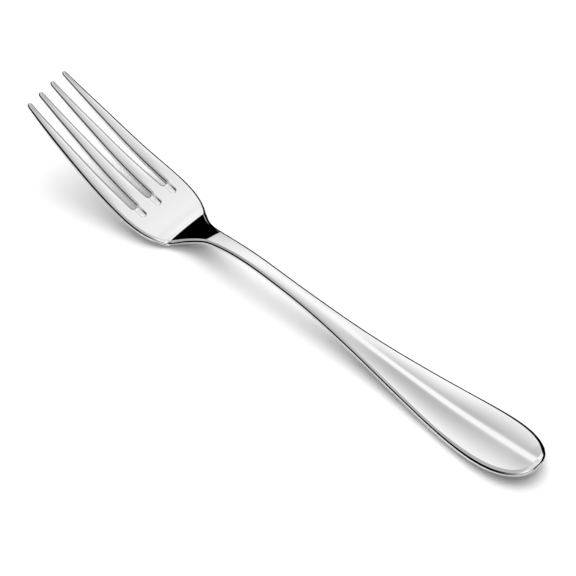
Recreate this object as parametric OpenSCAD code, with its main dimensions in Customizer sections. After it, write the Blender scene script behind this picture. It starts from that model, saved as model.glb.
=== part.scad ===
// Dinner fork with four tines, one piece of polished stainless steel.
// The tips point along -X, the handle ends along +X, the table is z = 0.
// Each node is one region of the fork, from the tips: four tines, head, neck, stem, handle.
// A region is a skin over cross sections, and neighbours meet face to face on a plane across X.

/* [Overall] */
// Length from the tine tips to the end of the handle
fork_len = 205; // [185:1:225]
// Height of the tips' underside above the table
tip_rise = 22.4; // [16:0.2:26]
// Greatest height of the stem's underside above the table
arch_rise = 6.9; // [5:0.1:9]
// Height of the handle end's underside above the table
end_rise = 2.2; // [1:0.1:4]
// Depth that the two resting flats are ground into the underside
rest_flat = 0.1; // [0.06:0.01:0.16]

/* [Head and tines] */
// Greatest width of the head
head_w = 25.3; // [23:0.1:28]
// Length of the slots, measured from the tips
slot_len = 46; // [42:0.5:49]
// Width of a slot at the tips
slot_tip_w = 4.9; // [4.6:0.05:5]
// Width of a slot beside its round end
slot_root_w = 2.5; // [2:0.05:3]
// Distance between slot middles at the tips
slot_tip_pitch = 5.7; // [5.65:0.01:5.85]
// Distance between slot middles at their round ends
slot_root_pitch = 6.75; // [6.3:0.05:7]
// Length of the coined dimple behind each slot
dimple_len = 3.6; // [2.5:0.1:4]
// Depth of the coined dimple behind each slot
dimple_depth = 0.35; // [0.15:0.05:0.5]
// Length over which a tine's tip is rounded
tip_round = 1.1; // [0.8:0.1:2]
// Rise of a tine's rounded top above its edges
tine_crown = 0.12; // [0.05:0.01:0.2]

/* [Stem] */
// Least width of the stem
stem_w = 5; // [4.4:0.1:6]
// Rise of the stem's rounded top above its edges
stem_crown = 0.35; // [0.15:0.05:0.5]

/* [Handle] */
// Greatest width of the handle
handle_w = 20.7; // [17:0.1:23]
// Height of the ridge above the flutes on both sides
ridge_h = 1.1; // [0.6:0.1:1.6]
// Half width of the rounded top of the ridge
ridge_round = 1; // [0.6:0.1:1.5]

/* [Metal] */
// Thickness at the tine tips
tip_t = 1.3; // [1:0.1:1.6]
// Thickness of the tines
tine_t = 2.2; // [1.9:0.05:2.5]
// Thickness of the head
head_t = 2.4; // [2.1:0.05:2.8]
// Thickness of the stem at its edges
stem_t = 2.25; // [2:0.05:2.8]
// Thickness of the handle at its edges
handle_t = 2.75; // [2.3:0.05:3.2]
// Radius of the rounded edges
edge_r = 0.55; // [0.4:0.05:0.7]

/* [Hidden] */
steel = [0.78, 0.79, 0.8];
steel_dark = [0.7, 0.71, 0.73];
half_share = 0.5;
// Place of the outer tines and of the inner tines, counted in tines from the middle
outer_share = 1.5;
inner_share = 0.5;

// Shares of the length are counted on a fork whose slots end at this share
// A share before it is a place along the slots, one after it a place behind them
root_at_share = 0.2244;
function place_of(s) =
    s < root_at_share ? slot_len * s / root_at_share
    : mix(slot_len, fork_len, (s - root_at_share) / (1 - root_at_share));
function share_of(x) =
    x < slot_len ? root_at_share * x / slot_len
    : mix(root_at_share, 1, (x - slot_len) / (fork_len - slot_len));

// Where the regions meet, as shares of the length
neck_at_share = 0.322;
stem_at_share = 0.39;
handle_at_share = 0.61;
neck_x = place_of(neck_at_share);
stem_x = place_of(stem_at_share);
handle_x = place_of(handle_at_share);
// Where the handle is widest, and how square its rounded end is
widest_at_share = 0.912;
widest_x = place_of(widest_at_share);
end_power_share = 2.3;
end_grow_share = 1.002;
// Where the stem's rounded top turns into the handle's ridge
ridge_from_share = 0.49;
ridge_full_share = 0.72;

// Underside from the tips to the heel, to the arch and to the end of the handle
// Each line is a share of the length and a share of that stretch's own rise
tip_under_shares = [
    [0, 1], [0.024, 0.883], [0.073, 0.659], [0.146, 0.373], [0.224, 0.145],
    [0.275, 0.036], [0.301, 0]
];
arch_under_shares = [
    [0.301, 0], [0.322, 0.19], [0.346, 0.51], [0.38, 0.84], [0.439, 1], [0.512, 0.885],
    [0.634, 0.49], [0.741, 0.163], [0.849, 0]
];
end_under_shares = [[0.849, 0], [0.927, 0.33], [1, 1]];
// Width beyond the stem's own, as a share of the length and of the head's or handle's extra width
head_width_shares = [
    [0, 0.65], [0.02, 0.697], [0.049, 0.757], [0.098, 0.842], [0.146, 0.915], [0.195, 0.98],
    [0.224, 1], [0.244, 0.986], [0.259, 0.952], [0.273, 0.882], [0.288, 0.759],
    [0.302, 0.556], [0.317, 0.352], [0.332, 0.21], [0.346, 0.114], [0.366, 0.052],
    [0.39, 0.02], [0.44, 0], [0.5, 0]
];
handle_width_shares = [
    [0.439, 0], [0.488, 0], [0.537, 0.022], [0.585, 0.08], [0.634, 0.18], [0.683, 0.31],
    [0.732, 0.473], [0.78, 0.643], [0.829, 0.817], [0.878, 0.957], [0.912, 1]
];

// A smooth line through points: each point is a place and a value
function slot_of(p, x, i = 1) = i >= len(p) - 1 || x <= p[i][0] ? i : slot_of(p, x, i + 1);
function rise_of(p, i) = (p[i][1] - p[i - 1][1]) / (p[i][0] - p[i - 1][0]);
function span_of(p, i) = p[i][0] - p[i - 1][0];
function slope_of(p, i) =
    i <= 0 ? rise_of(p, 1)
    : i >= len(p) - 1 ? rise_of(p, len(p) - 1)
    : (rise_of(p, i) * span_of(p, i + 1) + rise_of(p, i + 1) * span_of(p, i))
        / (span_of(p, i) + span_of(p, i + 1));
function hermite(a, b, sa, sb, h, t) =
    a * (1 + 2 * t) * (1 - t) * (1 - t) + sa * h * t * (1 - t) * (1 - t)
    + b * t * t * (3 - 2 * t) - sb * h * t * t * (1 - t);
function line_at(p, x) =
    x <= p[0][0] ? p[0][1]
    : x >= p[len(p) - 1][0] ? p[len(p) - 1][1]
    : let (i = slot_of(p, x), h = span_of(p, i))
        hermite(p[i - 1][1], p[i][1], slope_of(p, i - 1), slope_of(p, i), h,
            (x - p[i - 1][0]) / h);
function blend(a, b, x) = let (t = min(1, max(0, (x - a) / (b - a)))) t * t * (3 - 2 * t);
function mix(a, b, t) = a + (b - a) * t;

// The underside as one list, so that the stretches run into each other smoothly
function scaled(shares, rise, skip) =
    [for (i = [skip : len(shares) - 1]) [place_of(shares[i][0]), shares[i][1] * rise]];
under_points = concat(scaled(tip_under_shares, tip_rise, 0),
    scaled(arch_under_shares, arch_rise, 1), scaled(end_under_shares, end_rise, 1));
function under(x) = line_at(under_points, x) - rest_flat;

thick_points = [
    [0, tip_t], [slot_len / 8, mix(tip_t, tine_t, 0.8)], [slot_len / 3, tine_t],
    [slot_len * 2 / 3, tine_t], [slot_len, mix(tine_t, head_t, half_share)],
    [neck_x * 0.9, head_t], [neck_x + (stem_x - neck_x) * 0.3, head_t],
    [stem_x, stem_t], [handle_x, stem_t], [mix(handle_x, widest_x, 0.7), handle_t],
    [fork_len, handle_t]
];
function thick(x) = line_at(thick_points, x);
function top_edge(x) = under(x) + thick(x);

// Half the overall width at a place
function half_w(x) =
    let (s = share_of(x))
    x > widest_x
        ? handle_w / 2 * pow(1 - pow((x - widest_x) / (fork_len - widest_x) / end_grow_share,
            end_power_share), 1 / end_power_share)
        : stem_w / 2 + (head_w - stem_w) / 2 * line_at(head_width_shares, s)
            + (handle_w - stem_w) / 2 * line_at(handle_width_shares, s);

// Slots: the middle line of each, and half the width with a round end
slot_root_r = slot_root_w / 2;
function slot_y(k, x) = k * mix(slot_tip_pitch, slot_root_pitch, x / slot_len);
function slot_half(x) =
    let (c = slot_len - slot_root_r)
    x < c ? mix(slot_tip_w / 2, slot_root_r, x / c)
    : sqrt(max(0, slot_root_r * slot_root_r - (x - c) * (x - c)));

// The rounded tip of a tine narrows and thins it over its first stretch
function tip_share(x) =
    let (t = min(1, x / tip_round)) sqrt(max(0, 1 - (1 - t) * (1 - t))) * 0.9 + 0.1;

// Height that the top has above its edges: stem crown, then ridge with a flute on each side
function ridge_share(x) = blend(place_of(ridge_from_share), place_of(ridge_full_share), x);
function ridge_z(y, w) =
    let (q = sqrt(y * y + ridge_round * ridge_round) - ridge_round, s = min(1, q / w))
    ridge_h * (1 - s) * (1 - s) * min(1, w / ridge_h / 4);
function crown_share(x) = blend(neck_x, stem_x, x);
function crown_z(y, w) = stem_crown * (1 - y * y / w / w);
function dimple_z(x, y) =
    let (
        near = round(y / slot_root_pitch),
        dy = (y - near * slot_root_pitch) / (slot_root_r * 1.1),
        far = slot_len + dimple_len - slot_root_r,
        dx = max(0, x - far) / (slot_root_r * 1.1),
        d = sqrt(dx * dx + dy * dy)
    )
    abs(near) > 1 || d >= 1 ? 0 : -dimple_depth * sqrt(1 - d * d);
function body_extra(x, y, w) =
    mix(crown_share(x) * crown_z(y, w), ridge_z(y, w), ridge_share(x));

// One cross section as a ring of points: top row, far edge, bottom row, near edge
function corner(y, z, r, side, up) =
    [for (a = up > 0 ? [45, 90] : [90, 135])
        [y + side * r * (sin(a) - 1), z + r * (up > 0 ? cos(a) - 1 : cos(a) + 1)]];
corner_points = 8;
function back(list) = [for (i = [len(list) - 1 : -1 : 0]) list[i]];
function ring(x, top, bottom, yl, yr, ztl, ztr, zb, rl, rr) = [
    for (p = concat(top, corner(yr, ztr, rr, 1, 1), corner(yr, zb, rr, 1, -1), back(bottom),
        back(corner(yl, zb, rl, -1, -1)), back(corner(yl, ztl, rl, -1, 1))))
        [x - fork_len / 2, p[0], p[1]]
];

// A skin over rings that all have the same number of points, its two ends closed in strips
module skin(rings) {
    n = len(rings[0]);
    m = len(rings);
    row = (n - corner_points) / 2;
    points = [for (r = rings) for (p = r) p];
    sides = [
        for (i = [0 : m - 2]) for (j = [0 : n - 1])
            let (k = (j + 1) % n, a = i * n + j, b = i * n + k, c = a + n, d = b + n)
            for (f = [[a, b, c], [b, d, c]]) f
    ];
    strips = [
        for (i = [0 : row - 2])
            [i, i + 1, n - corner_points / 2 - i - 2, n - corner_points / 2 - i - 1]
    ];
    far_rim = [for (j = [row - 1 : row + corner_points / 2]) j];
    near_rim = [for (j = [n - corner_points / 2 - 1 : n]) j % n];
    cap = concat(strips, [far_rim, near_rim]);
    first = [for (f = cap) back(f)];
    last = [for (f = cap) [for (j = f) j + (m - 1) * n]];
    polyhedron(points = points, faces = concat(sides, first, last), convexity = 10);
}

// Everything below the table, to grind the resting flats
module below_table() {
    deep = tip_rise;
    translate([-fork_len, -head_w, -deep])
        cube([fork_len * 2, head_w * 2, deep]);
}

// A tine between two slots or between a slot and the outer edge, side -1 near and 1 far
tine_row_shares = [0, 0.25, 0.5, 0.75, 1];
function tine_edge(k, side, x) =
    let (line = k + side * half_share)
    abs(line) > outer_share ? side * half_w(x) : slot_y(line, x) - side * slot_half(x);
function inner_r(x) = edge_r * max(0.06, min(1, (slot_len - x) / slot_root_r));
function tine_ring(k, x) =
    let (
        l0 = tine_edge(k, -1, x),
        r0 = tine_edge(k, 1, x),
        mid = (l0 + r0) / 2,
        s = tip_share(x),
        yl = mid + (l0 - mid) * s,
        yr = mid + (r0 - mid) * s,
        t0 = thick(x),
        t = t0 * mix(0.45, 1, s),
        zb = under(x) + (t0 - t) * 0.3,
        zt = zb + t,
        most = min((yr - yl), t) * 0.4,
        rl = min(most, k < -1 ? edge_r : inner_r(x)),
        rr = min(most, k > 1 ? edge_r : inner_r(x)),
        fade = 1 - blend(slot_len - slot_root_w, slot_len, x)
    )
    ring(x,
        [for (q = tine_row_shares) [mix(yl + rl, yr - rr, q),
            zt + tine_crown * fade * s * 4 * q * (1 - q)]],
        [for (q = tine_row_shares) [mix(yl + rl, yr - rr, q), zb]],
        yl, yr, zt, zt, zb, rl, rr);
tip_station_shares = [0, 0.12, 0.35, 0.7, 1];
run_station_shares = [0.06, 0.13, 0.22, 0.33, 0.44, 0.55, 0.66, 0.77, 0.88];
round_station_shares = [0, 0.3, 0.55, 0.75, 0.9, 0.97, 1];
tine_stations = concat(
    [for (q = tip_station_shares) q * tip_round],
    [for (q = run_station_shares) q * slot_len],
    [for (q = round_station_shares) slot_len - slot_root_r + q * slot_root_r]);
module tine(k) {
    skin([for (x = tine_stations) tine_ring(k, x)]);
}
module tine_1() {
    color(steel) tine(-outer_share);
}
module tine_2() {
    color(steel_dark) tine(-inner_share);
}
module tine_3() {
    color(steel) tine(inner_share);
}
module tine_4() {
    color(steel_dark) tine(outer_share);
}

// Head: the flat plate behind the slots, with a coined dimple behind each slot
dimple_row_shares = [-1.1, -0.95, -0.65, 0, 0.65, 0.95, 1.1];
head_row = concat(
    [for (k = [-1 : 1]) for (q = dimple_row_shares) k * slot_root_pitch + q * slot_root_r * 1.1]);
head_step_shares = [0, 0.3, 0.6, 0.75, 0.87, 0.95, 1];
head_stations = concat(
    [for (q = head_step_shares) slot_len + q * dimple_len],
    [for (q = [1 : 11]) mix(slot_len + dimple_len, neck_x, q / 11)]);
row_reach = slot_root_pitch + slot_root_r * 1.3;
function head_ring(x) =
    let (
        w = half_w(x),
        zt = top_edge(x),
        zb = under(x),
        room = w - edge_r,
        fit = room / (half_w(slot_len) - edge_r),
        rim = concat([-(half_w(slot_len) - edge_r)], head_row, [half_w(slot_len) - edge_r])
    )
    ring(x,
        [for (y = rim) [y * fit, zt + dimple_z(x, y)]],
        [for (y = rim) [y * fit, zb]],
        -w, w, zt, zt, zb, edge_r, edge_r);
module head() {
    color(steel)
        difference() {
            skin([for (x = head_stations) head_ring(x)]);
            below_table();
        }
}

// Neck, stem and handle: one kind of section with a shaped top
body_row_shares = [
    -1, -0.8, -0.6, -0.42, -0.28, -0.17, -0.08, 0, 0.08, 0.17, 0.28, 0.42, 0.6, 0.8, 1
];
function body_ring(x) =
    let (
        w = half_w(x),
        at_end = max(0, (x - (fork_len - edge_r)) / edge_r) * 0.9,
        drop = edge_r * (1 - sqrt(1 - at_end * at_end)),
        zt = top_edge(x) - drop,
        zb = under(x) + drop,
        r = min(edge_r, w * 0.4, (zt - zb) * 0.4),
        room = w - r
    )
    ring(x,
        [for (q = body_row_shares) [q * room, zt + body_extra(x, q * room, room)]],
        [for (q = body_row_shares) [q * room, zb]],
        -w, w, zt, zt, zb, r, r);
module neck() {
    color(steel_dark)
        skin([for (i = [0 : 10]) body_ring(mix(neck_x, stem_x, i / 10))]);
}
module stem() {
    color(steel)
        skin([for (i = [0 : 12]) body_ring(mix(stem_x, handle_x, i / 12))]);
}
end_step_shares = [0, 0.16, 0.32, 0.47, 0.6, 0.71, 0.8, 0.87, 0.93, 0.967, 0.985, 0.994, 1];
handle_stations = concat(
    [for (i = [0 : 15]) mix(handle_x, widest_x, i / 16)],
    [for (q = end_step_shares) mix(widest_x, fork_len, q)]);
module handle() {
    color(steel_dark)
        difference() {
            skin([for (x = handle_stations) body_ring(x)]);
            below_table();
        }
}

tine_1();
tine_2();
tine_3();
tine_4();
head();
neck();
stem();
handle();
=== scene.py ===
import math
import bpy
import numpy as np
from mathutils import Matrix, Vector


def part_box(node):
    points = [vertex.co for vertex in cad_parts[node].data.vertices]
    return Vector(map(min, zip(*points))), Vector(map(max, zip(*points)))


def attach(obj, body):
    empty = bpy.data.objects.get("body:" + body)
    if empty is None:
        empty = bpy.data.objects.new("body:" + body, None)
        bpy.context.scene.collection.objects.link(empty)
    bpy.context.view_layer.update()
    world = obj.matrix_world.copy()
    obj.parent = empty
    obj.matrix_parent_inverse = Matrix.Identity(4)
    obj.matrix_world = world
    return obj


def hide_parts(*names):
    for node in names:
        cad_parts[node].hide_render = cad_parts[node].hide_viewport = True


# Polished dinner fork on a white table, seen from above the handle's near side.
# Lengths of the fork are millimetres. +X runs from the tips to the handle's end, and
# places along the fork are counted from the tips.
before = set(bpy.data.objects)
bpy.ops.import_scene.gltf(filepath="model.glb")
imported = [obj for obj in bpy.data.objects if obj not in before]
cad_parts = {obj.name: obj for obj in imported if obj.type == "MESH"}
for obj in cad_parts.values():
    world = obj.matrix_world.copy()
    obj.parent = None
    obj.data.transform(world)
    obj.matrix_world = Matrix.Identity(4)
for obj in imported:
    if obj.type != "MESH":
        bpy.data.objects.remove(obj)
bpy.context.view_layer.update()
mm = 0.001


def spanOf(*nodes):
    # size and lowest corner of some CAD nodes together, in millimetres
    boxes = [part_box(n) for n in nodes]
    low = Vector([min(b[0][i] for b in boxes) for i in range(3)]) / mm
    high = Vector([max(b[1][i] for b in boxes) for i in range(3)]) / mm
    return low, high


def smoothLine(points, endSlope=None):
    # a line without kinks through a few points, with no bend at its ends
    px, py = (np.array([p[i] for p in points], float) for i in (0, 1))
    n, h = len(px), np.diff(px)
    rise = np.diff(py) / h
    a, b = np.eye(n), np.zeros(n)
    for i in range(1, n - 1):
        a[i, i - 1:i + 2] = h[i - 1], 2 * (h[i - 1] + h[i]), h[i]
        b[i] = 6 * (rise[i] - rise[i - 1])
    if endSlope is not None:
        a[-1, -2:] = h[-1], 2 * h[-1]
        b[-1] = 6 * (endSlope - rise[-1])
    bend = np.linalg.solve(a, b)

    def at(x):
        x = np.clip(np.asarray(x, float), px[0], px[-1])
        k = np.clip(np.searchsorted(px, x) - 1, 0, n - 2)
        t, hk = x - px[k], h[k]
        return (py[k] + t * (rise[k] - hk * (2 * bend[k] + bend[k + 1]) / 6)
                + bend[k] * t * t / 2 + (bend[k + 1] - bend[k]) * t ** 3 / 6 / hk)
    return at


def ease(a, b, x):
    # 0 before a, 1 after b, without a kink between them
    t = np.clip((x - a) / (b - a), 0, 1)
    return t * t * t * (10 - 15 * t + 6 * t * t)


def mix(a, b, t):
    return a + (b - a) * t


# The fork: one forged piece, so one mesh stands for all eight regions
low, high = spanOf(*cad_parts)
headLow, headHigh = spanOf("head")
handleLow, handleHigh = spanOf("handle")
tineLow, tineHigh = spanOf("tine_1")
fork = dict(
    length=high.x - low.x, headW=headHigh.y - headLow.y, handleW=handleHigh.y - handleLow.y,
    stemW=5.1, tipTop=23.97,
    grow=0.1,  # added to each side, because the rounded edge hides that much
    rimLift=0.1,  # and to the thickness
    lineEnd=205.0, lineStep=0.05,  # the height is summed up along the fork in these steps

    # place along the fork and slope of the upper face, which decides what it mirrors
    slope=[(0, -0.481), (8, -0.466), (16, -0.439), (24, -0.431), (30, -0.391), (36, -0.32),
           (42, -0.277), (48, -0.244), (54, -0.21), (57.5, -0.215), (59.3, -0.219),
           (60.5, -0.222), (61.1, -0.21), (61.6, 0.26), (62.2, 0.35), (63.1, 0.385),
           (64.3, 0.41), (66, 0.44), (68, 0.457), (70.3, 0.458), (72, 0.4), (73.3, 0.29),
           (75, 0.23), (77.5, 0.2), (80, 0.154), (83, 0.105), (86, 0.06), (90, 0.002),
           (95, -0.055), (105, -0.079), (115, -0.106), (125, -0.122), (135, -0.102),
           (145, -0.088), (155, -0.064), (163, -0.051), (170, -0.017), (178, 0.032),
           (186, 0.06), (195, 0.088), (205, 0.102)],
    thick=[(0, 1.75), (5.75, 2.55), (14, 2.85), (22, 2.75), (32, 2.5), (42, 2.32), (54, 2.22),
           (60, 2.28), (68, 2.43), (80, 2.3), (125, 2.3), (165, 2.8), (205, 2.83)],

    # place along the fork and share of the head's or handle's extra half width
    headShape=[(0, 0.65), (4.1, 0.697), (10, 0.757), (20, 0.842), (30, 0.915), (40, 0.98),
               (46, 1), (50, 0.986), (53, 0.952), (56, 0.882), (59, 0.759), (62, 0.556),
               (65, 0.352), (68, 0.21), (71, 0.114), (75, 0.052), (80, 0.02), (90, 0), (102, 0)],
    handleShape=[(90, 0), (100, 0), (110, 0.022), (120, 0.08), (130, 0.18), (140, 0.31),
                 (150, 0.473), (160, 0.643), (170, 0.817), (180, 0.957), (187, 1)],
    # the handle's end: where it is widest, how square it is, and where its edge widens
    widest=187.0, endPower=2.3, endGrow=1.002, endRange=(165, 195), endEdge=0.45,

    # place along the fork and height of the ridge, its rounding and the plain crown
    ridge=[(0, 0), (98, 0), (107, 0), (116, 0), (125, 0.08), (135, 0.52), (145, 1.12),
           (155, 1.53), (170, 1.9), (185, 1.95), (196, 1.68), (205, 1.3)],
    ridgeRound=[(0, 0.7), (120, 0.7), (135, 0.78), (150, 0.82), (165, 0.97), (180, 1.1),
                (192, 1.2), (205, 1.2)],
    crown=[(0, 0), (57, 0), (60, 0.08), (63, 0.28), (66, 0.36), (70, 0.3), (74, 0.2),
           (80, 0.12), (88, 0.19), (96, 0.32), (110, 0.46), (125, 0.6), (140, 0.12),
           (160, -0.25), (185, -0.15), (205, 0.2)],
    crossEnd=200,  # from here the ridge and crown keep the width they have

    # slots, which end just before the CAD's tines do, and their width along them
    slotLen=tineHigh.x - tineLow.x - 0.2, slotRootW=1.8, slotTipPitch=5.7, slotRootPitch=6.85,
    slotWidth=[(0, 3.95), (6, 3.6), (14, 3.15), (22, 2.7), (32, 2.25), (42, 1.88), (46, 1.8)],
    # tines: height of their rounded backs and where it fades round the slots' ends, the
    # turn of the small round tip, and how much shorter than the longest each one is
    tineCrown=0.15, tineCrownEnd=(-9, 0.5), tipStart=0.45, tipTurn=(60, 90),
    tipCut=[1.4, 0.9, 0.4, 0.0], tipCutRun=30,
    # dimples: depth, length and width, share of the depth at the slot's end, and the
    # shares of the half width where the wall begins and ends
    dimple=0.5, dimpleLen=4.4, dimpleW=2.35, dimpleStart=0.55, dimpleRun=0.3,
    dimpleWall=(0.55, 1.12),

    # rolled edge: radius, its largest share of a narrow width or thin metal, then length
    # along it and tilt in degrees, with a soft band before the tight corner
    edge=0.98, edgeOfWidth=0.42, edgeOfThick=0.5, edgeBlend=6,
    edgeTilt=[(0, 0), (0.15, 28), (0.7, 32), (1.12, 60), (1.38, 90)],
    edgeSteps=[0, 0.05, 0.1, 0.15, 0.33, 0.52, 0.7, 0.8, 0.91, 1.01, 1.12, 1.2, 1.29, 1.38],
    # place along the fork and share of that rounding along the lower edge
    underRound=[(0, 0.5), (42, 0.5), (56, 1), (130, 1), (160, 1.3), (190, 1), (205, 1)],

    # fine curves that the lattice is read from: the handle's end and the rolled edge
    endPoints=2001, arcPoints=1451, arcHalfStep=0.0005,
    # counts of the lattice, and place along the fork and distance to the next row of points
    tineCols=9, slotCols=12, tipRows=4, rootRows=6, endRows=34, wallSteps=3,
    tineSteps=[(0, 0.12), (2, 0.35), (8, 0.55), (40, 0.55), (44.75, 0.3)],
    bodySteps=[(46, 0.14), (50.5, 0.16), (53, 0.42), (59, 0.35), (60.5, 0.16), (63, 0.16),
               (64.5, 0.4), (66, 0.6), (80, 0.9), (120, 1.2), (178, 1.1), (187, 0.55)],
    # columns gather at the dimples' sides, spread evenly, then gather at the ridge
    grooveGather=1.35, ridgeGather=(0.42, 0.58),
    grooveRun=1.2, bulgeRun=5, evenRange=(50, 64), ridgeRange=(80, 150),
)
slopeAt = smoothLine(fork["slope"])
fineX = np.linspace(0, fork["lineEnd"], int(round(fork["lineEnd"] / fork["lineStep"])) + 1)
fineZ = slopeAt((fineX[1:] + fineX[:-1]) / 2) * fork["lineStep"]
fineZ = np.concatenate([[0], np.cumsum(fineZ)]) + fork["tipTop"]
thickAt = smoothLine(fork["thick"])
slotWidthAt = smoothLine(fork["slotWidth"])
headAt = smoothLine(fork["headShape"])
ridgeAt = smoothLine(fork["ridge"])
roundAt = smoothLine(fork["ridgeRound"])
crownAt = smoothLine(fork["crown"])
handleAt = smoothLine(fork["handleShape"], 0)
slotR = fork["slotRootW"] / 2
slotEnd = fork["slotLen"] - slotR


def rimAt(x):
    # height of the upper face along its edges
    return np.interp(x, fineX, fineZ)


def underAt(x):
    return rimAt(x) - thickAt(x) + fork["rimLift"]


def halfWidth(x):
    # the outline: tines and head, stem, and the rounded handle
    f = fork
    run = (f["stemW"] + (f["headW"] - f["stemW"]) * headAt(x)
           + (f["handleW"] - f["stemW"]) * handleAt(x)) / 2
    t = np.clip((x - f["widest"]) / (f["length"] - f["widest"]), 0, 1) / f["endGrow"]
    end = f["handleW"] / 2 * (1 - t ** f["endPower"]) ** (1 / f["endPower"])
    return f["grow"] * (1 + ease(*f["endRange"], x)) + np.where(x > f["widest"], end, run)


def slotLine(k, x):
    # the slots' middle lines spread a little towards the head
    return k * mix(fork["slotTipPitch"], fork["slotRootPitch"], x / fork["slotLen"])


def edgeAt(x):
    # the rounding is wider round the handle's end
    return fork["edge"] * (1 + fork["endEdge"] * ease(*fork["endRange"], x))


def edgeRadius(width, thick):
    # the rounding shrinks where the metal gets narrow, as at the tips
    p = fork["edgeBlend"]
    return 1 / ((1 / fork["edge"]) ** p + (1 / (fork["edgeOfWidth"] * width)) ** p
                + (1 / (fork["edgeOfThick"] * thick)) ** p) ** (1 / p)


def topAt(x, y):
    # height of the upper face: long curve, stem crown, ridge between two flutes
    w = halfWidth(np.minimum(x, fork["crossEnd"]))
    q = (y ** 4 + roundAt(x) ** 4) ** 0.25 - roundAt(x)
    ridge = ridgeAt(x) * (1 - np.clip(q / w, 0, 1)) ** 2
    return rimAt(x) + ridge + crownAt(x) * (1 - np.clip(y / w, -1, 1) ** 2)


def dimpleAt(x, y):
    # depth of the coined groove behind each slot, deepest at its far end
    f, depth = fork, 0
    far = f["slotLen"] + f["dimpleLen"] - f["dimpleW"] / 2
    for k in (-1, 0, 1):
        d = np.hypot(np.maximum(0, x - far), y - k * f["slotRootPitch"]) / f["dimpleW"] * 2
        deep = f["dimple"] * mix(f["dimpleStart"], 1, ease(f["slotLen"], far + f["dimpleRun"], x))
        depth = depth + deep * (1 - ease(*f["dimpleWall"], d)) * (x > slotEnd)
    return depth


def stationsFrom(a, b, steps, samples=4000):
    # places from a to b whose distances follow the steps
    x = np.linspace(a, b, samples)
    run = np.interp(x, *zip(*steps))
    count = np.concatenate([[0], np.cumsum((x[1] - x[0]) * 2 / (run[1:] + run[:-1]))])
    n = int(round(count[-1]))
    return np.interp(np.linspace(0, count[-1], n + 1), count, x)


# Rows: along the tines to the slots' round ends, along the body, then round the handle's end
rootR = slotR + fork["edge"]
turn = np.linspace(0, math.pi / 4, fork["rootRows"] + 1)
tineX = np.concatenate([stationsFrom(fork["tipStart"], slotEnd, fork["tineSteps"]),
                        slotEnd + rootR * np.sin(turn[1:])])
bodyX = stationsFrom(tineX[-1], fork["widest"], fork["bodySteps"])
tipRows, endRows = fork["tipRows"], fork["endRows"]
tineRows = tipRows + len(tineX) - 1
rows = tineRows + len(bodyX) - 1 + endRows
tc, sc = fork["tineCols"], fork["slotCols"]
cols = 4 * tc + 3 * sc
tineStarts = [n * (tc + sc) for n in range(4)]
slotStarts = [n * (tc + sc) + tc for n in range(3)]

# Plan places of the lattice, X along and Y across, inside the rounded edge
planX, planY = np.full((2, rows + 1, cols + 1), np.nan)
radius = np.full((rows + 1, cols + 1), fork["edge"])
hump = np.zeros((rows + 1, cols + 1))
atRoot = tineX > slotEnd
for n, start in enumerate(tineStarts):
    across = np.linspace(0, 1, tc + 1)
    x = tineX + fork["tipCut"][n] * (1 - ease(0, fork["tipCutRun"], tineX))
    sides = []
    for k, side in ((n - 2, 1), (n - 1, -1)):
        if abs(k) > 1:
            sides.append(-side * halfWidth(x))
        else:
            half = np.where(x > slotEnd, slotR, slotWidthAt(x) / 2)
            sides.append(slotLine(k, x) + side * half)
    r = edgeRadius(sides[1] - sides[0], thickAt(x))
    rootBend = np.sqrt(np.maximum(0, rootR ** 2 - np.maximum(0, tineX - slotEnd) ** 2))
    nearY = np.where(atRoot & (n > 0), slotLine(n - 2, tineX) + rootBend, sides[0] + r)
    farY = np.where(atRoot & (n < 3), slotLine(n - 1, tineX) - rootBend, sides[1] - r)
    put = slice(tipRows, tineRows + 1), slice(start, start + tc + 1)
    planX[put] = x[:, None]
    planY[put] = mix(nearY[:, None], farY[:, None], across)
    radius[put] = r[:, None]
    fade = 1 - ease(*(slotEnd + a for a in fork["tineCrownEnd"]), tineX)
    hump[put] = 4 * across * (1 - across) * fade[:, None]
    # the small round end in front of the first straight row
    mid, tipR = (nearY[0] + farY[0]) / 2, (farY[0] - nearY[0]) / 2
    tipFrom, tipTo = (math.radians(a) for a in fork["tipTurn"])
    for j in range(tipRows):
        share, put = j / tipRows, (j, slice(start, start + tc + 1))
        a = mix(tipFrom, tipTo, share) * (2 * across - 1)
        planX[put] = x[0] - tipR * mix(np.cos(a), math.cos(a[-1]), share)
        planY[put] = mid + tipR * np.sin(a)
        radius[put] = r[0]
        hump[put] = hump[tipRows, start:start + tc + 1]

# Body: columns leave the tines and slots where they end and gather towards the ridge
shares = np.full(cols + 1, np.nan)
bulge = np.zeros(cols + 1)
rootW = halfWidth(tineX[-1]) - fork["edge"]
for start in tineStarts:
    shares[start:start + tc + 1] = planY[tineRows, start:start + tc + 1] / rootW
grooveShares = shares.copy()
for k, start in zip((-1, 0, 1), slotStarts):
    put = slice(start, start + sc + 1)
    a = np.linspace(-math.pi / 4, math.pi / 4, sc + 1)
    centre = slotLine(k, tineX[-1])
    shares[put] = (centre + rootR * np.sin(a)) / rootW
    bulge[put] = rootR * (np.cos(a) - math.cos(math.pi / 4))
    u = np.linspace(-1, 1, sc + 1)
    u = np.sign(u) * (1 - (1 - np.abs(u)) ** fork["grooveGather"])
    grooveShares[put] = (centre + rootR * math.sin(math.pi / 4) * u) / rootW
evenShares = np.linspace(-1, 1, cols + 1)
inner, outer = fork["ridgeGather"]
ridgeShares = evenShares * (inner + outer * np.abs(evenShares))
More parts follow.
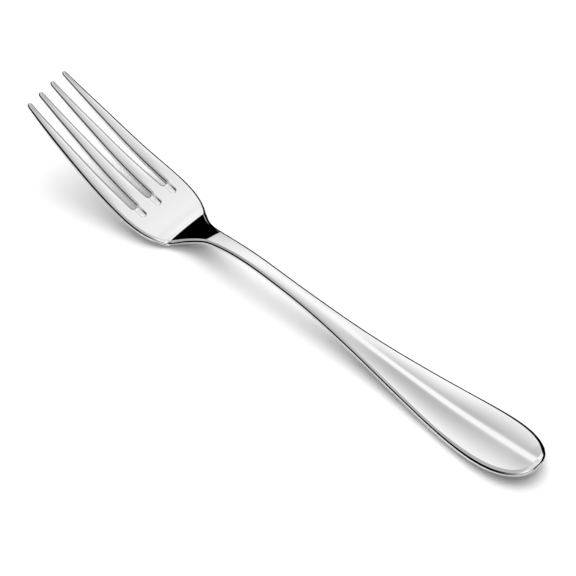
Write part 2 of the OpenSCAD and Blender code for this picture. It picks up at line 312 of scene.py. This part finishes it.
for j, x in enumerate(bodyX):
    s = mix(shares, grooveShares, ease(tineX[-1], tineX[-1] + fork["grooveRun"], x))
    s = mix(s, evenShares, ease(*fork["evenRange"], x))
    s = mix(s, ridgeShares, ease(*fork["ridgeRange"], x))
    planX[tineRows + j] = x + bulge * (1 - ease(0, fork["bulgeRun"], x - tineX[-1]))
    planY[tineRows + j] = (halfWidth(x) - edgeAt(x)) * s
    radius[tineRows + j] = edgeAt(x)

# Handle's end: the sides turn in along the rounded outline and the last rows bow outwards
p = fork["endPower"]
a, b = fork["length"] - fork["widest"], float(halfWidth(fork["widest"]))
t = np.linspace(0, math.pi / 2, fork["endPoints"])
ox, oy = a * np.sin(t) ** (2 / p), b * np.cos(t) ** (2 / p)
gx, gy = (ox / a) ** (p - 1) / a, (oy / b) ** (p - 1) / b
g = np.hypot(gx, gy)
endX = fork["widest"] + ox - edgeAt(fork["widest"] + ox) * gx / g
endY = oy - edgeAt(fork["widest"] + ox) * gy / g
corner = int(np.argmin(np.abs(gx - gy)))
run = np.concatenate([[0], np.cumsum(np.hypot(np.diff(endX), np.diff(endY)))])
bow = np.interp(-np.abs(ridgeShares) * endY[corner], -endY, endX) - endX[corner]
for m in range(1, endRows + 1):
    at = run[corner] * m / endRows
    sideX, sideY = np.interp(at, run, endX), np.interp(at, run, endY)
    midX = mix(fork["widest"], endX[-1], m / endRows)
    planX[rows - endRows + m] = sideX + (midX - sideX) * bow / bow[cols // 2]
    planY[rows - endRows + m] = sideY * ridgeShares
    radius[rows - endRows + m] = edgeAt(np.interp(at, run, fork["widest"] + ox))

# The edge of the lattice in one turn: near side, handle's end, far side, tips and slots
loop = [(j, 0) for j in range(rows)] + [(rows, i) for i in range(cols)]
loop += [(j, cols) for j in range(rows, 0, -1)]
for n in (3, 2, 1, 0):
    start = tineStarts[n]
    loop += [(0, i) for i in range(start + tc, start, -1)]
    if n:
        loop += [(j, start) for j in range(tineRows)]
        loop += [(tineRows, i) for i in range(start, start - sc, -1)]
        loop += [(j, start - sc) for j in range(tineRows, 0, -1)]
loop = np.array(loop)
print("outline of", len(loop), "points,", rows, "rows,", cols, "columns")

top = np.stack([planX, planY, topAt(planX, planY) + hump * fork["tineCrown"]], -1)
bottom = np.stack([planX, planY, underAt(planX)], -1)


def unit(v):
    return v / np.linalg.norm(v, axis=-1, keepdims=True)


def rimFrames(sheet, reach=0.2):
    # outward and upward directions along the edge of one face
    pts = sheet[loop[:, 0], loop[:, 1]]
    ahead, behind = np.roll(pts, -1, 0) - pts, pts - np.roll(pts, 1, 0)
    la, lb = (np.linalg.norm(v, axis=1, keepdims=True) for v in (ahead, behind))
    along = unit(ahead / la * lb + behind / lb * la)
    slope = (underAt(pts[:, 0] + reach) - underAt(pts[:, 0] - reach)) / (2 * reach)
    out = unit(np.cross(along, np.stack([-slope, 0 * slope, 1 + 0 * slope], -1)))
    up = unit(np.cross(out, along))
    return pts, out, up


# Rolled edge: the tilt summed up to a profile, then set round both faces of the lattice
arc = np.linspace(0, fork["edgeTilt"][-1][0], fork["arcPoints"])
tilt = np.radians(np.interp(arc[1:] - fork["arcHalfStep"], *zip(*fork["edgeTilt"])))
edgeOut, edgeDrop = (np.concatenate([[0], np.cumsum(v)]) for v in (np.cos(tilt), np.sin(tilt)))
edgeOut, edgeDrop = (np.interp(fork["edgeSteps"], arc, v / edgeOut[-1])
                     for v in (edgeOut, edgeDrop))
steps, wallSteps = len(edgeOut) - 1, fork["wallSteps"]
rim = np.zeros((len(loop), 2 * steps + wallSteps + 1, 3))
r = radius[loop[:, 0], loop[:, 1]][:, None]
pts, out, up = rimFrames(top)
sink = dimpleAt(pts[:, 0], pts[:, 1])
for m in range(steps + 1):
    rim[:, m] = pts + r * (out * edgeOut[m] - up * edgeDrop[m])
    rim[:, m, 2] -= sink * (1 - edgeOut[m])
pts, out, up = rimFrames(bottom)
share = np.interp(pts[:, 0], *zip(*fork["underRound"]))[:, None]
pts, r = pts + out * r * (1 - share), r * share
for m in range(steps + 1):
    rim[:, -1 - m] = pts + r * (out * edgeOut[m] + up * edgeDrop[m])
for m in range(1, wallSteps):
    rim[:, steps + m] = mix(rim[:, steps], rim[:, steps + wallSteps], m / wallSteps)
top[..., 2] -= dimpleAt(planX, planY)

# The plate: a flat lattice with the slots left out, pulled down level by level
bpy.ops.mesh.primitive_grid_add(x_subdivisions=rows, y_subdivisions=cols, size=2)
plate = bpy.context.object
plate.name = "fork_steel"
for v in plate.data.vertices:
    v.co = ((v.co.x + 1) / 2 * rows, (v.co.y + 1) / 2 * cols, 0)
bpy.ops.object.mode_set(mode="EDIT")
bpy.ops.mesh.select_mode(type="FACE")
bpy.ops.mesh.select_all(action="DESELECT")
bpy.ops.object.mode_set(mode="OBJECT")
for f in plate.data.polygons:
    inSlot = any(a < f.center.y < a + sc for a in slotStarts)
    f.select = inSlot and f.center.x < tineRows
bpy.ops.object.mode_set(mode="EDIT")
bpy.ops.mesh.delete(type="FACE")
bpy.ops.mesh.select_all(action="SELECT")
for m in range(rim.shape[1] - 1):
    bpy.ops.mesh.extrude_region_move(TRANSFORM_OT_translate={"value": (0, 0, -1)})
bpy.ops.mesh.select_all(action="SELECT")
bpy.ops.mesh.normals_make_consistent(inside=False)
bpy.ops.object.mode_set(mode="OBJECT")
print("plate", len(plate.data.vertices), "points,", len(plate.data.polygons), "faces")

# Pressed to shape: each point of the plate goes to its place on the fork
place = {(j, i): n for n, (j, i) in enumerate(loop.tolist())}
co = np.empty(len(plate.data.vertices) * 3)
plate.data.vertices.foreach_get("co", co)
lattice = np.rint(co.reshape(-1, 3)).astype(int)
shaped = np.empty(lattice.shape)
for n, (j, i, level) in enumerate(lattice):
    if (j, i) in place:
        shaped[n] = rim[place[j, i], -level]
    else:
        shaped[n] = (top if level == 0 else bottom)[j, i]
shaped[:, 0] -= fork["length"] / 2
plate.data.vertices.foreach_set("co", (shaped * mm).ravel())
plate.data.update()
bpy.ops.object.shade_smooth()
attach(plate, "root")
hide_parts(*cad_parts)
print("fork shaped, lowest and highest", shaped.min(0).round(3), shaped.max(0).round(3))


def newMaterial(name):
    mat = bpy.data.materials.new(name)
    mat.use_nodes = True
    tree = mat.node_tree
    tree.nodes.clear()
    return mat, tree.nodes, tree.links


def feed(links, node, values):
    # fill a node's sockets in order, with numbers or with other nodes' outputs
    for socket, value in zip(node.inputs, values):
        if isinstance(value, (int, float)):
            socket.default_value = value
        else:
            links.new(value, socket)
    return node.outputs[0]


def mathNode(nodes, links, kind, *values):
    node = nodes.new("ShaderNodeMath")
    node.operation = kind
    return feed(links, node, values)


def softStep(nodes, links, value, a, b):
    # 0 at a and 1 at b, with soft ends
    node = nodes.new("ShaderNodeMapRange")
    node.interpolation_type = "SMOOTHSTEP"
    return feed(links, node, (value, a, b, 0, 1))


def greyOf(nodes, links, tone):
    node = nodes.new("ShaderNodeCombineColor")
    return feed(links, node, (tone, tone, tone))


# Polished steel: a mirror with fine polishing lines along the fork, faint cross
# hairlines and patches that are a little duller
finish = dict(
    level=0.78, dull=0.012, rough=0.015, lines=0.015, haze=0.02,
    # scale, how the noise is drawn out along the axes, and its detail
    polish=(900, (0.02, 1, 1), 3), hairs=(700, (1, 0.05, 1), 2), patches=(60, (0.6, 1, 1), 4),
    patchRange=(0.45, 0.75),
    hairShare=0.4, bump=0.02, bumpHeight=0.00002,  # metres
)
steel, nodes, links = newMaterial("polished_steel")
out = nodes.new("ShaderNodeOutputMaterial")
metal = nodes.new("ShaderNodeBsdfPrincipled")
where = nodes.new("ShaderNodeTexCoord")
metal.inputs["Metallic"].default_value = 1


def pattern(scale, stretch, detail):
    # noise in the fork's own coordinates, drawn out along one axis
    move = nodes.new("ShaderNodeMapping")
    move.inputs["Scale"].default_value = stretch
    noise = nodes.new("ShaderNodeTexNoise")
    noise.inputs["Scale"].default_value = scale
    noise.inputs["Detail"].default_value = detail
    links.new(where.outputs["Object"], move.inputs[0])
    links.new(move.outputs[0], noise.inputs["Vector"])
    return noise.outputs[0]


polish, hairs, haze = (pattern(*finish[name]) for name in ("polish", "hairs", "patches"))
lines = mathNode(nodes, links, "MULTIPLY_ADD", polish, finish["lines"], finish["rough"])
cloud = softStep(nodes, links, haze, *finish["patchRange"])
rough = mathNode(nodes, links, "MULTIPLY_ADD", cloud, finish["haze"], lines)
links.new(rough, metal.inputs["Roughness"])
tone = mathNode(nodes, links, "MULTIPLY_ADD", haze, -finish["dull"], finish["level"])
links.new(greyOf(nodes, links, tone), metal.inputs["Base Color"])
wear = mathNode(nodes, links, "MULTIPLY_ADD", hairs, finish["hairShare"], polish)
relief = nodes.new("ShaderNodeBump")
relief.inputs["Strength"].default_value = finish["bump"]
relief.inputs["Distance"].default_value = finish["bumpHeight"]
links.new(wear, relief.inputs["Height"])
links.new(relief.outputs[0], metal.inputs["Normal"])
links.new(metal.outputs[0], out.inputs[0])
plate.data.materials.clear()
plate.data.materials.append(steel)
print("steel", steel.name, "with", len(nodes), "nodes")

# Table: white to the camera. For glossy rays only, its paint is turned black beside the fork and
# round the handle's end. This is a painted dark reflection that gives the steel its dark edge
# lines, so in the steel only the part under the fork and just in front of it is bright. Each pair
# is where the painted dark begins and where it is full, in metres across, and for the handle's end
# along the fork and across.
table = dict(size=4, paint=0.97, farPaintedDark=(0.003, 0.007), nearPaintedDark=(-0.0145, -0.023),
             endPaintedDark=[(0.103, 0.106), (-0.004, 0.001)])
bpy.ops.mesh.primitive_plane_add(size=table["size"])
floor = bpy.context.object
floor.name = "table"
white, nodes, links = newMaterial("white_table")
out = nodes.new("ShaderNodeOutputMaterial")
paint = nodes.new("ShaderNodeBsdfDiffuse")
where = nodes.new("ShaderNodeTexCoord")
split = nodes.new("ShaderNodeSeparateXYZ")
path = nodes.new("ShaderNodeLightPath")
links.new(where.outputs["Object"], split.inputs[0])
along, aside = split.outputs[0], split.outputs[1]
# painted dark reflection: black bands in the table's paint, far side, near side and round the
# handle's end
paintedDark = softStep(nodes, links, aside, *table["farPaintedDark"])
frontPaintedDark = softStep(nodes, links, aside, *table["nearPaintedDark"])
paintedDark = mathNode(nodes, links, "MAXIMUM", paintedDark, frontPaintedDark)
end = softStep(nodes, links, along, *table["endPaintedDark"][0])
side = softStep(nodes, links, aside, *table["endPaintedDark"][1])
paintedDark = mathNode(nodes, links, "MAXIMUM", paintedDark, mathNode(nodes, links, "MULTIPLY", end, side))
# only glossy rays see the painted dark, so the steel mirrors it while the camera sees the table
# evenly white
paintedDark = mathNode(nodes, links, "MULTIPLY", paintedDark, path.outputs["Is Glossy Ray"])
tone = mathNode(nodes, links, "MULTIPLY_ADD", paintedDark, -table["paint"], table["paint"])
links.new(greyOf(nodes, links, tone), paint.inputs[0])
links.new(paint.outputs[0], out.inputs[0])
floor.data.materials.append(white)
print("table", table["size"], "m wide")

# Studio: what the steel mirrors, and apart from it the table's own lamps. Heights and turns
# are degrees, turn 0 is away from the camera and 90 to its right.
studio = dict(
    # soft lamps that together fill the room, dark ones too: height, turn, level
    lamps=[(90, 0, 0.58), (62, 0, 1.60), (62, 90, 1.56), (62, 180, 1.05), (62, -90, 0.37),
           (50, 35, 1.60), (50, -35, 0.79), (40, 0, 1.60), (40, 70, 0.00), (40, -70, 0.18),
           (32, -20, 1.37), (33, 22, 1.60), (22, 0, 0.00), (20, 40, 0.88), (18, 80, 1.60),
           (72, 40, 0.34), (72, -40, 0.64), (20, -40, 0.00), (20, -60, 1.39), (50, -110, 1.12),
           (12, 20, 0.00), (50, 125, 0.09), (28, 42, 1.60), (28, 8, 0.43), (34, 58, 1.60),
           (48, 55, 0.63), (55, -135, 0.20), (20, -90, 0.00)],
    lampSize=16.0,
    # the room is dark below the horizon, given as a share of straight up
    horizon=0.22, horizonBlur=0.03,
    # round fields, direction, angle and blur: a dark card that the neck mirrors, the lit
    # half of the room away from the camera, and a low light beside the card, which frames
    # the dark patch of the neck
    card=(12, -19), cardAngle=13.5, cardBlur=0.004,
    lit=(26, 48), litAngle=101.0, litBlur=0.025,
    strip=(8, 1), stripAngle=8.5, stripBlur=0.003, stripLevel=1.0,
    # windows of the dark half, which show from the far side: height, turn, level, narrowness
    windows=[(28, 180, 0.9, 16.0), (36, 130, 0.7, 12.0)],
    # the table's lamps in the same order, and its light from everywhere
    tableLamps=[(50, -40, 1.85, 6.5), (46, 0, 1.85, 13.0), (50, 42, 1.95, 6.5)],
    tableRest=0.3,
)
view = dict(place=(0.403436, -0.444472, 0.720248), aim=(-0.00142, 0.00424, 0),
            lens=187.5, sensor=36, farEnd=10)
farX, farY = -view["place"][0], -view["place"][1]
farX, farY = farX / math.hypot(farX, farY), farY / math.hypot(farX, farY)

world = bpy.data.worlds.new("studio")
bpy.context.scene.world = world
world.use_nodes = True
nodes, links = world.node_tree.nodes, world.node_tree.links
nodes.clear()
out = nodes.new("ShaderNodeOutputWorld")
sky = nodes.new("ShaderNodeBackground")
where = nodes.new("ShaderNodeTexCoord")
path = nodes.new("ShaderNodeLightPath")


def lampDirection(height, turn):
    h, t = math.radians(height), math.radians(turn)
    c, s = math.cos(t), math.sin(t)
    return Vector((math.cos(h) * (c * farX + s * farY), math.cos(h) * (c * farY - s * farX),
                   math.sin(h)))


def facing(direction):
    # how much the ray points that way
    node = nodes.new("ShaderNodeVectorMath")
    node.operation = "DOT_PRODUCT"
    links.new(where.outputs["Generated"], node.inputs[0])
    node.inputs[1].default_value = direction
    return node.outputs["Value"]


def softLamp(height, turn, size):
    near = mathNode(nodes, links, "MULTIPLY_ADD", facing(lampDirection(height, turn)), size, -size)
    return mathNode(nodes, links, "EXPONENT", near)


def field(name, inside=True):
    # 1 inside a round field of the room and 0 outside it, or the other way round
    edge = math.cos(math.radians(studio[name + "Angle"]))
    blur = studio[name + "Blur"] * (1 if inside else -1)
    return softStep(nodes, links, facing(lampDirection(*studio[name])), edge - blur, edge + blur)


light, weight = 0.0, 0.0001  # the weight is never zero, so that it can divide
for height, turn, level in studio["lamps"]:
    lamp = softLamp(height, turn, studio["lampSize"])
    light = mathNode(nodes, links, "MULTIPLY_ADD", lamp, level, light)
    weight = mathNode(nodes, links, "ADD", lamp, weight)
light = mathNode(nodes, links, "DIVIDE", light, weight)
level, blur = studio["horizon"], studio["horizonBlur"]
above = softStep(nodes, links, facing((0, 0, 1)), level - blur, level + blur)
for part in (above, field("card", inside=False), field("lit")):
    light = mathNode(nodes, links, "MULTIPLY", light, part)
light = mathNode(nodes, links, "MULTIPLY_ADD", field("strip"), studio["stripLevel"], light)
for height, turn, level, size in studio["windows"]:
    light = mathNode(nodes, links, "MULTIPLY_ADD", softLamp(height, turn, size), level, light)
rest = studio["tableRest"]
for height, turn, level, size in studio["tableLamps"]:
    rest = mathNode(nodes, links, "MULTIPLY_ADD", softLamp(height, turn, size), level, rest)
light = mathNode(nodes, links, "SUBTRACT", light, rest)
light = mathNode(nodes, links, "MULTIPLY_ADD", light, path.outputs["Is Glossy Ray"], rest)
links.new(greyOf(nodes, links, light), sky.inputs[0])
links.new(sky.outputs[0], out.inputs[0])
print("studio with", len(studio["lamps"]), "soft lamps")

# Camera
camData = bpy.data.cameras.new("view")
cam = bpy.data.objects.new("view", camData)
bpy.context.collection.objects.link(cam)
cam.location = view["place"]
cam.rotation_euler = (Vector(view["aim"]) - cam.location).to_track_quat("-Z", "Y").to_euler()
camData.lens = view["lens"]
camData.sensor_width = view["sensor"]
camData.clip_end = view["farEnd"]
bpy.context.scene.camera = cam
bpy.context.scene.view_settings.view_transform = "Standard"
